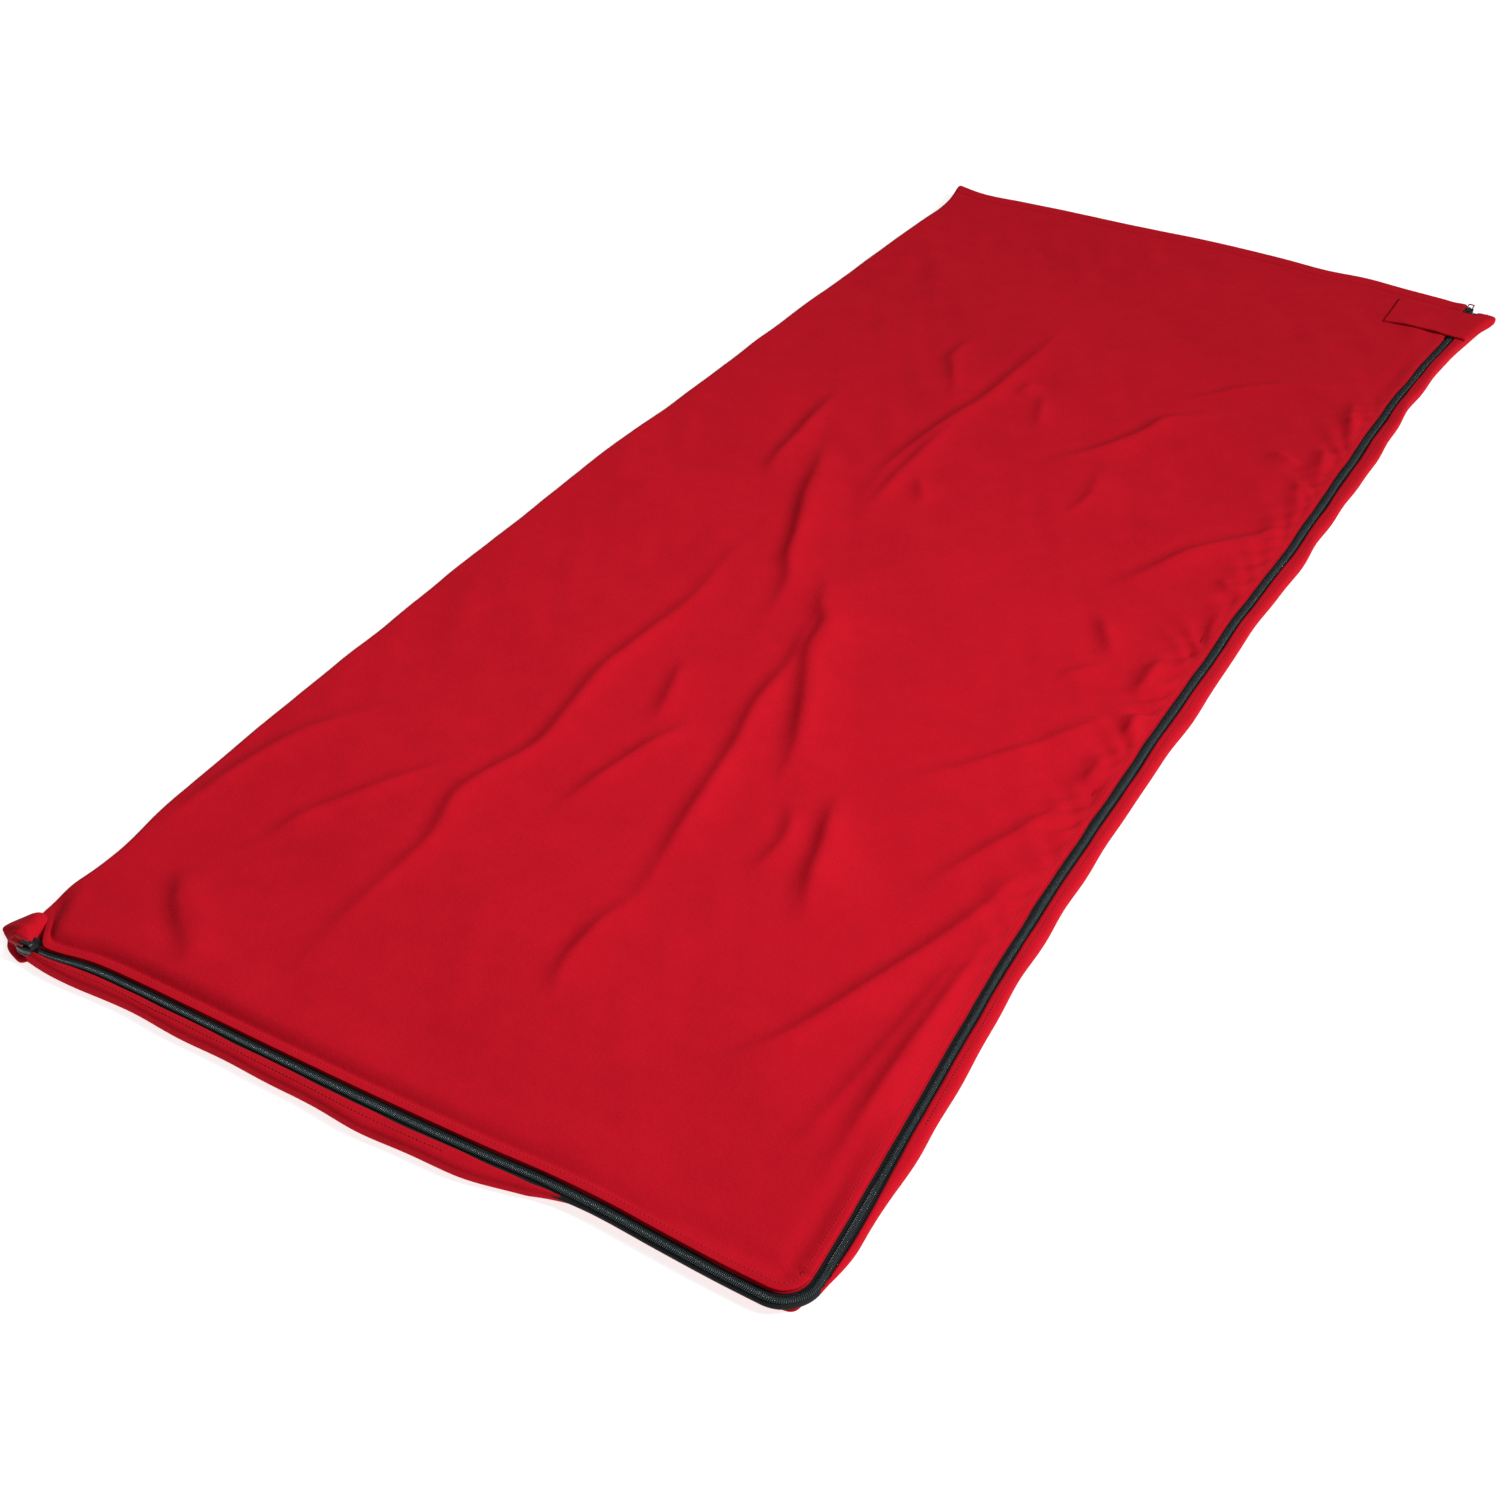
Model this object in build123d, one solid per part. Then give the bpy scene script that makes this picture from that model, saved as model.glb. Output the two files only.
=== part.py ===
from build123d import *
import os

# A rectangular fleece sleeping bag, lying closed. One sheet of fleece is folded at the left long side, and a
# coil zip with two sliders joins its lower and upper halves along the foot and the right side.
# Millimetres. The origin is on the surface that the bag lies on, under its middle. +Y runs to the open head end,
# +X to the zipped side. An inset is a distance inward from the outer edge of the zipped sides.

# Driving dimensions
LENGTH = 1905.0
WIDTH = 765.0
FLEECE = 2.5
CAVITY = 10.0
CORNER_RADIUS = 60.0
ZIP_INSET = 17.0
ZIP_OPENING = 15.0

# Heights
LOWER_TOP = FLEECE
UPPER_BOTTOM = LOWER_TOP + CAVITY
UPPER_TOP = UPPER_BOTTOM + FLEECE
TURNED_EDGE = 1.6
FACING_BOTTOM = UPPER_BOTTOM - TURNED_EDGE
TAPE = 0.6
TAPE_BOTTOM = FACING_BOTTOM - TAPE
COIL_HEIGHT = 2.4
COIL_TOP = FACING_BOTTOM + COIL_HEIGHT

# Plan sizes
FOLD_RADIUS = UPPER_TOP / 2
FOLD_X = -WIDTH / 2 + FOLD_RADIUS
BORDER_EDGE = ZIP_INSET - ZIP_OPENING / 2
COVER_EDGE = ZIP_INSET + ZIP_OPENING / 2
FACING_WIDTH = 12.0
HEM_WIDTH = 25.0
TAPE_GAP = 1.6
TAPE_WIDTH = 12.4
TAPE_END_ROOM = 10.0
COIL_GAP = 0.15
COIL_WIDTH = 2.85

# Sliders, with their pulls towards the open end of the zip
SLIDER_LENGTH = 15.5
SLIDER_WIDTH = 11.5
SLIDER_REAR_WIDTH = 8.6
SLIDER_FRONT_WIDTH = 9.6
WING = 1.1
WING_GAP = 0.2
FLANGE = 0.9
FLANGE_GAP = 0.3
DIVIDER_WIDTH = 2.4
DIVIDER_LENGTH = 5.0
DIVIDER_Y = 4.0
CROWN_LENGTH = 10.0
CROWN_WIDTH = 3.0
CROWN_HEIGHT = 3.1
CROWN_WALL = 1.05
PULL_LENGTH = 15.0
PULL_WIDTH = 8.0
PULL_WALL = 1.4
PULL_BAR_RADIUS = 0.6
PULL_PIVOT_Y = 2.6
PULL_PIVOT_HEIGHT = 1.05

HEAD_SLIDER_Y = 905.0
FOOT_SLIDER_X = -345.0
COIL_TO_DIVIDER = 1.2
STOP_LENGTH = 3.5
STOP_WIDTH = 1.9
STOP_HEIGHT = 2.0
STOP_GAP = 1.0
STOP_FROM_CENTRE = 0.4

# Closure tab over the zip's head end, sewn to the upper panel and held on the border by hook and loop
TAB_LEFT = 279.0
TAB_FOOT_SIDE = 812.0
TAB_HEAD_SIDE = 894.0
TAB_THICKNESS = 2.0
TAB_BOTTOM = UPPER_TOP + 3.0
TAB_TUCK_WIDTH = 12.0
TAB_TUCK_HEIGHT = 2.7
TAB_CORNER_RADIUS = 4.0
PATCH_WIDTH = 7.5
PATCH_MARGIN = 4.0
LOOP_THICKNESS = 1.3
HOOK_THICKNESS = 1.4

os.makedirs("parts", exist_ok=True)


def save(name, solid):
    export_step(solid, f"parts/{name}.step")


def block(x, y, z):
    """A box given by its limits along each axis."""
    size = (x[1] - x[0], y[1] - y[0], z[1] - z[0])
    middle = ((x[0] + x[1]) / 2, (y[0] + y[1]) / 2, (z[0] + z[1]) / 2)
    return Pos(*middle) * Box(*size)


def plan(inset):
    """The bag's plan right of the fold, drawn in by inset at the foot and the zipped side."""
    left, right = FOLD_X, WIDTH / 2 - inset
    foot, head = -LENGTH / 2 + inset, LENGTH / 2
    sheet = Pos((left + right) / 2, (foot + head) / 2) * Rectangle(right - left, head - foot)
    zip_corner = sheet.vertices().sort_by(lambda v: v.X - v.Y)[-1]
    return fillet(zip_corner, CORNER_RADIUS - inset)


def slab(sketch, bottom, top):
    return Pos(0, 0, bottom) * extrude(sketch, amount=top - bottom)


def band(outer, inner, bottom, top, start=FOLD_X, end=LENGTH / 2):
    """An L-shaped strip between two insets, from x = start along the foot to y = end up the side."""
    strip = slab(plan(outer) - plan(inner), bottom, top)
    reach = WIDTH + LENGTH
    return strip & block((start, reach), (-reach, end), (bottom, top))


def split_at_corner(strip):
    """The strip's foot, corner and side stretches."""
    reach = WIDTH + LENGTH
    turn_x, turn_y = WIDTH / 2 - CORNER_RADIUS, -LENGTH / 2 + CORNER_RADIUS
    foot = strip & block((-reach, turn_x), (-reach, turn_y), (0, UPPER_TOP))
    corner = strip & block((turn_x, reach), (-reach, turn_y), (0, UPPER_TOP))
    side = strip & block((turn_x, reach), (turn_y, reach), (0, UPPER_TOP))
    return foot, corner, side


def head_hem(right, bottom):
    """The hem turned inward at the head edge, a pressed layer on the inside of the panel."""
    return block((FOLD_X, right), (LENGTH / 2 - HEM_WIDTH, LENGTH / 2), (bottom, bottom + TURNED_EDGE))


def slider_plan():
    """Outline of a slider's wings. The zip enters as two open halves at +Y and leaves closed at -Y."""
    rear, front = -SLIDER_LENGTH / 2, SLIDER_LENGTH / 2
    right_side = [
        (SLIDER_REAR_WIDTH / 2, rear),
        (SLIDER_WIDTH / 2, rear * 0.15),
        (SLIDER_WIDTH / 2, front * 0.4),
        (SLIDER_FRONT_WIDTH / 2, front),
    ]
    left_side = [(-x, y) for x, y in reversed(right_side)]
    return make_face(Polyline(*right_side, *left_side, close=True))


def slider_channel():
    """The space between a slider's flanges, running past both its ends."""
    rear, front = -SLIDER_LENGTH, SLIDER_LENGTH
    narrow = SLIDER_REAR_WIDTH / 2 - FLANGE
    wide = SLIDER_WIDTH / 2 - FLANGE
    right_side = [
        (narrow, rear),
        (narrow, -SLIDER_LENGTH / 2),
        (wide, -SLIDER_LENGTH / 2 * 0.15),
        (wide, front),
    ]
    left_side = [(-x, y) for x, y in reversed(right_side)]
    return make_face(Polyline(*right_side, *left_side, close=True))


def slider():
    """One slider at x = y = 0: two wings, side flanges, the divider between the halves and the pull's crown."""
    lower_top = TAPE_BOTTOM - WING_GAP
    upper_bottom = COIL_TOP + WING_GAP
    upper_top = upper_bottom + WING
    lower_wing = slab(slider_plan(), lower_top - WING, lower_top)
    upper_wing = slab(slider_plan(), upper_bottom, upper_top)
    flanges = slab(slider_plan() - slider_channel(), FACING_BOTTOM + FLANGE_GAP, upper_bottom)
    side, tip = DIVIDER_WIDTH / 2, DIVIDER_LENGTH / 2
    diamond = make_face(Polyline((side, 0), (0, tip), (-side, 0), (0, -tip), close=True))
    divider = Pos(0, DIVIDER_Y) * slab(diamond, lower_top, upper_bottom)

    arch = Rectangle(CROWN_LENGTH, 2 * CROWN_HEIGHT)
    arch = fillet(arch.vertices(), CROWN_HEIGHT - CROWN_WALL)
    window = Rectangle(CROWN_LENGTH - 2 * CROWN_WALL, 2 * (CROWN_HEIGHT - CROWN_WALL))
    window = fillet(window.vertices(), CROWN_WALL)
    whole_ring = extrude(Plane.YZ * (arch - window), amount=CROWN_WIDTH / 2, both=True)
    above = block((-CROWN_WIDTH, CROWN_WIDTH), (-CROWN_LENGTH, CROWN_LENGTH), (0, 2 * CROWN_HEIGHT))
    crown = Pos(0, 0, upper_top) * (whole_ring & above)
    return lower_wing + upper_wing + flanges + divider + crown


def pull():
    """A slider's pull, an open loop that lies flat towards +Y from a round bar under the crown."""
    pivot_z = COIL_TOP + WING_GAP + WING + PULL_PIVOT_HEIGHT
    outer = Pos(0, PULL_LENGTH / 2) * Rectangle(PULL_WIDTH, PULL_LENGTH)
    outer = fillet(outer.vertices().sort_by(Axis.Y)[-2:], PULL_WIDTH / 4)
    opening_start, opening_end = -PULL_BAR_RADIUS, PULL_LENGTH - PULL_WALL
    opening = Rectangle(PULL_WIDTH - 2 * PULL_WALL, opening_end - opening_start)
    opening = Pos(0, (opening_start + opening_end) / 2) * opening
    frame = slab(outer - opening, -PULL_BAR_RADIUS, PULL_BAR_RADIUS)
    bar = Rot(0, 90, 0) * Cylinder(PULL_BAR_RADIUS, PULL_WIDTH)
    return Pos(0, PULL_PIVOT_Y, pivot_z) * (frame + bar)


def at_head(piece):
    return Pos(WIDTH / 2 - ZIP_INSET, HEAD_SLIDER_Y, 0) * piece


def at_foot(piece):
    return Pos(FOOT_SLIDER_X, -LENGTH / 2 + ZIP_INSET, 0) * Rot(0, 0, 90) * piece


def stop(side):
    """The stop on one tape, just past a slider at x = y = 0. Side is +1 or -1 across the zip."""
    middle_x = side * (STOP_FROM_CENTRE + STOP_WIDTH / 2)
    middle_y = SLIDER_LENGTH / 2 + STOP_GAP + STOP_LENGTH / 2
    body = Pos(middle_x, middle_y, FACING_BOTTOM + STOP_HEIGHT / 2) * Box(STOP_WIDTH, STOP_LENGTH, STOP_HEIGHT)
    return fillet(body.edges().group_by(Axis.Z)[-1], STOP_HEIGHT / 4)


# Lower half of the fleece sheet, and the border that rises from it and turns in over the top to the zip
save("bottom_panel", slab(plan(0), 0, LOWER_TOP))
save("bottom_head_hem", head_hem(WIDTH / 2 - FLEECE, LOWER_TOP))

border = band(0, FLEECE, LOWER_TOP, UPPER_BOTTOM) + band(0, BORDER_EDGE, UPPER_BOTTOM, UPPER_TOP)
foot_border, corner_border, side_border = split_at_corner(border)
save("foot_border", foot_border)
save("corner_border", corner_border)
save("side_border", side_border)
save("border_facing", band(FLEECE, BORDER_EDGE, FACING_BOTTOM, UPPER_BOTTOM))

# The fold that joins the two halves
ring = Circle(FOLD_RADIUS) - Circle(FOLD_RADIUS - FLEECE)
left_half = ring & (Pos(-FOLD_RADIUS, 0) * Rectangle(2 * FOLD_RADIUS, 2 * FOLD_RADIUS))
save("left_fold", Pos(FOLD_X, 0, FOLD_RADIUS) * extrude(Plane.XZ * left_half, amount=LENGTH / 2, both=True))

# Upper half of the sheet
save("top_panel", slab(plan(COVER_EDGE), UPPER_BOTTOM, UPPER_TOP))
save("top_head_hem", head_hem(WIDTH / 2 - COVER_EDGE - FACING_WIDTH, FACING_BOTTOM))
save("cover_facing", band(COVER_EDGE, COVER_EDGE + FACING_WIDTH, FACING_BOTTOM, UPPER_BOTTOM))

# Zip: a tape under each turned edge, and on each tape one half of the coil
tape_ends = {"start": FOLD_X + TAPE_END_ROOM, "end": LENGTH / 2 - TAPE_END_ROOM}
tape_edge = ZIP_INSET - TAPE_GAP
save("zip_tape_bottom", band(tape_edge - TAPE_WIDTH, tape_edge, TAPE_BOTTOM, FACING_BOTTOM, **tape_ends))
tape_edge = ZIP_INSET + TAPE_GAP
save("zip_tape_top", band(tape_edge, tape_edge + TAPE_WIDTH, TAPE_BOTTOM, FACING_BOTTOM, **tape_ends))

coil_ends = {"start": FOOT_SLIDER_X - COIL_TO_DIVIDER, "end": HEAD_SLIDER_Y + COIL_TO_DIVIDER}
coil_edge = ZIP_INSET - COIL_GAP
save("zip_coil_bottom", band(coil_edge - COIL_WIDTH, coil_edge, FACING_BOTTOM, COIL_TOP, **coil_ends))
coil_edge = ZIP_INSET + COIL_GAP
save("zip_coil_top", band(coil_edge, coil_edge + COIL_WIDTH, FACING_BOTTOM, COIL_TOP, **coil_ends))

save("head_slider", at_head(slider()))
save("head_slider_pull", at_head(pull()))
save("head_stop_bottom", at_head(stop(1)))
save("head_stop_top", at_head(stop(-1)))
save("foot_slider", at_foot(slider()))
save("foot_slider_pull", at_foot(pull()))
save("foot_stop_bottom", at_foot(stop(1)))
save("foot_stop_top", at_foot(stop(-1)))

# Closure tab
tab_right = WIDTH / 2 - (BORDER_EDGE - PATCH_WIDTH) / 2
tab_middle = Pos((TAB_LEFT + tab_right) / 2, (TAB_FOOT_SIDE + TAB_HEAD_SIDE) / 2)
tab_plan = tab_middle * Rectangle(tab_right - TAB_LEFT, TAB_HEAD_SIDE - TAB_FOOT_SIDE)
tab_plan = fillet(tab_plan.vertices().sort_by(Axis.X)[-2:], TAB_CORNER_RADIUS)
save("closure_tab", slab(tab_plan, TAB_BOTTOM, TAB_BOTTOM + TAB_THICKNESS))

tab_sides = (TAB_FOOT_SIDE, TAB_HEAD_SIDE)
tuck = block((TAB_LEFT, TAB_LEFT + TAB_TUCK_WIDTH), tab_sides, (UPPER_TOP, UPPER_TOP + TAB_TUCK_HEIGHT))
save("tab_seam_tuck", tuck)

patch_x = (tab_right - PATCH_WIDTH, tab_right)
patch_y = (TAB_FOOT_SIDE + PATCH_MARGIN, TAB_HEAD_SIDE - PATCH_MARGIN)
save("tab_loop_patch", block(patch_x, patch_y, (UPPER_TOP, UPPER_TOP + LOOP_THICKNESS)))
save("tab_hook_patch", block(patch_x, patch_y, (TAB_BOTTOM - HOOK_THICKNESS, TAB_BOTTOM)))
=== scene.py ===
import math

import bpy
import numpy as np
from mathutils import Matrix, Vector


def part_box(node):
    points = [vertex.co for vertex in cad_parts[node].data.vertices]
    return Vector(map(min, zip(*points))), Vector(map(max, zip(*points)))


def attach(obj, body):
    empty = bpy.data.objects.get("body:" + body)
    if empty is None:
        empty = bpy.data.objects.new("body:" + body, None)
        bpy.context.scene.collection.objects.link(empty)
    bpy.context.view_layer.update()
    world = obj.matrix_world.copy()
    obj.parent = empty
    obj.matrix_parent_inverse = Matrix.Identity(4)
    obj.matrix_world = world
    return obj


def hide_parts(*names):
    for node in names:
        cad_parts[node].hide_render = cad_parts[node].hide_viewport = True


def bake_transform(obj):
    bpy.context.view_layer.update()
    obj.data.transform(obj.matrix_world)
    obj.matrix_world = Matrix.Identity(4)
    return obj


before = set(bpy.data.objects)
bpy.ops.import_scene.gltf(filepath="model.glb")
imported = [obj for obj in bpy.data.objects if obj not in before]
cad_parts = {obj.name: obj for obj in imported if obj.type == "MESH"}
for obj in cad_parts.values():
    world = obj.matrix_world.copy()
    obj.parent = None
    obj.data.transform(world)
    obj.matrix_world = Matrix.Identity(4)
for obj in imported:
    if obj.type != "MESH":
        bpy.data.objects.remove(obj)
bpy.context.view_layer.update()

# The looks of a rectangular fleece sleeping bag. +Y runs to the open head end, +X to the zipped side, metres.
# Everything soft is built in the straight plan that the CAD parts have, and then bent by warp() to the
# gently bowed plan of real cloth. Across the zip, u is the distance outward from the zip's centre line.

MM = 0.001

# ------------------------------------------------------------
# Places and sizes read from the CAD frame

panel_low, panel_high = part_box("bottom_panel")
HEAD_Y, FOOT_Y = panel_high.y, panel_low.y
RIGHT_X = panel_high.x
FOLD_X = panel_low.x
LEFT_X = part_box("left_fold")[0].x
UPPER_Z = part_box("top_panel")[1].z

head_slider_low, head_slider_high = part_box("head_slider")
foot_slider_low, foot_slider_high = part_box("foot_slider")
ZIP_X = (head_slider_low.x + head_slider_high.x) / 2
ZIP_Y = (foot_slider_low.y + foot_slider_high.y) / 2
HEAD_SLIDER_Y = (head_slider_low.y + head_slider_high.y) / 2
FOOT_SLIDER_X = (foot_slider_low.x + foot_slider_high.x) / 2
INSET = RIGHT_X - ZIP_X
corner_low, corner_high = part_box("corner_border")
CORNER_TIGHTENED = 0.75  # the sewn corner draws in tighter than its straight plan
CORNER_RADIUS = (corner_high.x - corner_low.x) * CORNER_TIGHTENED
ZIP_RADIUS = CORNER_RADIUS - INSET
COIL_HEAD_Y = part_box("zip_coil_top")[1].y
COIL_FOOT_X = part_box("zip_coil_top")[0].x
TAPE_FOOT_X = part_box("zip_tape_top")[0].x

HALF_THICK = 1.1 * MM
SHEET_U = -5.9 * MM  # where the top sheet ends, at the lip beside the zip
HEM = 25.0 * MM
FOLD_TUCK = 4 * MM  # how far the top sheet is tucked in under the fold
TAPE_Z = 10.6  # millimetres, as are the next four
BORDER_TOP_Z = 14.75
TAPE_OUTER_U = 13.6
COVER_STITCH_U, BORDER_STITCH_U = -11.6, 11.2


# ------------------------------------------------------------
# Small mathematics

def smooth(low, high, at):
    """0 below low, 1 above high, and a smooth step between. Low may be above high."""
    t = np.clip((np.asarray(at, float) - low) / (high - low), 0, 1)
    return t * t * (3 - 2 * t)


def through(knots, at):
    """A smooth curve through (place, value) knots, flat beyond both ends."""
    places, values = (np.array(c, float) for c in zip(*sorted(knots)))
    slopes = np.gradient(values, places)
    at = np.clip(np.asarray(at, float), places[0], places[-1])
    i = np.clip(np.searchsorted(places, at) - 1, 0, len(places) - 2)
    width = places[i + 1] - places[i]
    t = (at - places[i]) / width
    rise = values[i] * (1 + 2 * t) * (1 - t) ** 2 + values[i + 1] * t * t * (3 - 2 * t)
    return rise + width * (slopes[i] * t * (1 - t) ** 2 - slopes[i + 1] * t * t * (1 - t))


def held_between(low, high, value, soft):
    """The value itself in the middle, bending to stay above low and below high over the last soft length."""
    over, under = value - (high - soft), (low + soft) - value
    value = np.where(over > 0, high - soft + soft * np.tanh(over / soft), value)
    return np.where(under > 0, low + soft - soft * np.tanh(under / soft), value)


def ripple(x, y, wavelength, seed):
    """A smooth random surface from -1 to 1 about, made of seeded plane waves."""
    rng = np.random.default_rng(seed)
    total = 0
    waves = 9
    for _ in range(waves):
        angle, phase = rng.uniform(0, 2 * math.pi, 2)
        k = 2 * math.pi / (wavelength * rng.uniform(0.7, 1.6))
        total = total + np.sin(k * (x * math.cos(angle) + y * math.sin(angle)) + phase)
    return total / math.sqrt(waves) / 1.4


# ------------------------------------------------------------
# The bowed plan. Offsets are in millimetres at places in metres. They rest on measurements: helper scripts
# projected the photo's outline and zip onto this plan, and the offsets were typed in from those, rounded.

LEFT_BOW = [
    (-0.95, 13), (-0.905, 13), (-0.87, 11), (-0.83, 14), (-0.73, 4), (-0.6, -1), (-0.4, -5), (-0.2, -8),
    (0.05, -7), (0.25, -2), (0.45, 1), (0.6, 5), (0.75, 10), (0.82, 13), (0.9, 13), (0.95, 4),
]
ZIP_BOW = [
    (-0.95, -2), (-0.9, -2), (-0.87, -3), (-0.8, -7), (-0.75, -10), (-0.6, -18), (-0.45, -22.5),
    (-0.25, -24), (0.0, -22.5), (0.2, -17.5), (0.4, -16.5), (0.6, -14.5), (0.72, -8), (0.82, -1),
    (0.88, 0), (0.95, 0),
]
OUTER_BOW = [
    (-0.95, -2), (-0.9, -2), (-0.87, -4), (-0.8, -8), (-0.73, -12), (-0.6, -19), (-0.4, -23), (-0.2, -23),
    (0.0, -22), (0.2, -16), (0.45, -12), (0.62, -13), (0.74, -7), (0.82, 2), (0.87, 11), (0.905, 20),
    (0.93, 17),
]
HEAD_BOW = [
    (-0.38, -12), (-0.345, -23), (-0.27, -22), (-0.2, -19), (-0.12, -18), (0.0, -12), (0.1, -15),
    (0.17, -22), (0.225, -19), (0.265, -24), (0.33, -30), (0.352, -31), (0.366, -32), (0.38, -34),
]
ZIP_FOOT_BOW = [
    (-0.36, 0), (-0.338, 0.5), (-0.3, 6.5), (-0.25, 7.5), (-0.2, 6.5), (-0.1, 4), (0.0, 2.5), (0.1, 2.5),
    (0.15, 3.5), (0.2, 2), (0.25, -2), (0.3, -5.5), (0.35, -7.5),
]
OUTER_FOOT_BOW = [
    (-0.39, 18), (-0.36, 13), (-0.335, 9), (-0.27, 8.5), (-0.2, 6.5), (-0.14, 4), (-0.05, 0), (0.0, -3),
    (0.05, -2), (0.1, 0), (0.15, 3), (0.2, 2), (0.25, -2), (0.3, -5.5), (0.35, -7.5),
]


def warp(x, y, head=True):
    """Bends straight plan points to the bag's bowed outline. Head says whether the head edge's dips count.

    The parked sliders stay where they are."""
    x, y = np.asarray(x, float), np.asarray(y, float)
    left, middle, outer = (through(k, y) for k in (LEFT_BOW, ZIP_BOW, OUTER_BOW))
    sway = 0.9 * ripple(y, 0 * y, 0.13, 5) * smooth(-0.82, -0.7, y) * smooth(0.8, 0.7, y)
    middle, outer = middle + sway, outer + sway
    inner_share = np.clip((x - LEFT_X) / (ZIP_X - LEFT_X), -0.2, 1)
    outer_share = np.clip((x - ZIP_X) / INSET, 0, 1.3)
    across = left + (middle - left) * inner_share + (outer - middle) * outer_share
    along = through(HEAD_BOW, x) * smooth(HEAD_Y - 0.2, HEAD_Y, y) if head else 0
    at_zip, at_edge = through(ZIP_FOOT_BOW, x), through(OUTER_FOOT_BOW, x)
    foot = at_zip + (at_edge - at_zip) * np.clip((ZIP_Y - y) / INSET, 0, 1.3)
    along = along + foot * smooth(ZIP_Y + 0.16, ZIP_Y + 0.018, y)
    return x + across * MM, y + along * MM


def zip_run(step=4 * MM, head=HEAD_Y, foot=FOLD_X):
    """Points along the zip's centre line, down the side, round the corner and along the foot.

    Returns the points and their outward normals."""
    arc_x, arc_y = RIGHT_X - CORNER_RADIUS, FOOT_Y + CORNER_RADIUS
    side_count = max(2, round((head - arc_y) / step))
    foot_count = max(2, round((arc_x - foot) / step))
    arc_count = max(10, round(ZIP_RADIUS * math.pi / 2 / min(step, 2.5 * MM)))
    side = [((ZIP_X, y), (1, 0)) for y in np.linspace(head, arc_y, side_count, endpoint=False)]
    turn = []
    for angle in np.linspace(0, -math.pi / 2, arc_count, endpoint=False):
        normal = (math.cos(angle), math.sin(angle))
        turn.append(((arc_x + ZIP_RADIUS * normal[0], arc_y + ZIP_RADIUS * normal[1]), normal))
    foot_line = [((x, ZIP_Y), (0, -1)) for x in np.linspace(arc_x, foot, foot_count)]
    centres, normals = zip(*(side + turn + foot_line))
    return np.array(centres), np.array(normals)


def run_length(centres):
    steps = np.linalg.norm(np.diff(centres, axis=0), axis=1)
    return np.concatenate([[0], np.cumsum(steps)])


# ------------------------------------------------------------
# Mesh making

def add_mesh(name, points, faces, material, shade_smooth=True):
    data = bpy.data.meshes.new(name)
    data.from_pydata(np.asarray(points).reshape(-1, 3).tolist(), [], faces)
    data.validate()
    data.update()
    if shade_smooth:
        data.polygons.foreach_set("use_smooth", [True] * len(data.polygons))
    data.materials.append(material)
    piece = bpy.data.objects.new(name, data)
    bpy.context.scene.collection.objects.link(piece)
    return piece


def grid_faces(rows, columns, start=0, flip=False, wrap=False):
    """Quads over a grid of points stored row by row. Wrap joins the last column to the first."""
    r = np.arange(rows - 1)[:, None]
    c = np.arange(columns if wrap else columns - 1)[None, :]
    after = (c + 1) % columns
    here, below = r * columns, (r + 1) * columns
    quads = np.stack([here + c, here + after, below + after, below + c], -1).reshape(-1, 4) + start
    return (quads[:, ::-1] if flip else quads).tolist()


def tube_faces(rows, columns, flip=False):
    """Faces of a tube of rings stored row by row, with a cap at both ends."""
    first, last = list(range(columns)), [(rows - 1) * columns + c for c in range(columns)]
    caps = [first, last[::-1]] if flip else [first[::-1], last]
    return grid_faces(rows, columns, wrap=True, flip=flip) + caps


def grid_normals(points):
    """Unit normals of a grid of points."""
    down, across = np.gradient(points, axis=0), np.gradient(points, axis=1)
    normals = np.cross(across, down)
    return normals / np.maximum(np.linalg.norm(normals, axis=2, keepdims=True), 1e-12)


def thick_sheet(name, middle, material, half=HALF_THICK):
    """A closed sheet with a grid of points as its middle surface, rounded at its rim."""
    rows, columns = middle.shape[:2]
    normals = grid_normals(middle)
    rim = np.ones((rows, columns, 1))
    rim[0], rim[-1], rim[:, 0], rim[:, -1] = 0.72, 0.72, 0.72, 0.72
    front, back = middle + normals * half * rim, middle - normals * half * rim
    count = rows * columns
    faces = grid_faces(rows, columns) + grid_faces(rows, columns, start=count, flip=True)
    ring = [(0, c) for c in range(columns)] + [(r, columns - 1) for r in range(1, rows)]
    ring += [(rows - 1, c) for c in range(columns - 2, -1, -1)] + [(r, 0) for r in range(rows - 2, 0, -1)]
    index = [r * columns + c for r, c in ring]
    for a, b in zip(index, index[1:] + index[:1]):
        faces.append([a, a + count, b + count, b])
    return add_mesh(name, np.concatenate([front.reshape(-1, 3), back.reshape(-1, 3)]), faces, material)


def closed_section(middle, half=HALF_THICK):
    """The outline of a strip of cloth whose section has these (u, z) middle points, with rounded ends."""
    middle = np.asarray(middle, float)
    along = np.gradient(middle, axis=0)
    along /= np.linalg.norm(along, axis=1, keepdims=True)
    across = np.stack([-along[:, 1], along[:, 0]], 1)
    ends = np.ones((len(middle), 1))
    ends[0] = ends[-1] = 0.7
    start_cap = middle[0] - along[0] * half * 0.6
    end_cap = middle[-1] + along[-1] * half * 0.6
    upper, lower = middle + across * half * ends, middle - across * half * ends
    return np.concatenate([upper, [end_cap], lower[::-1], [start_cap]])


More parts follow.
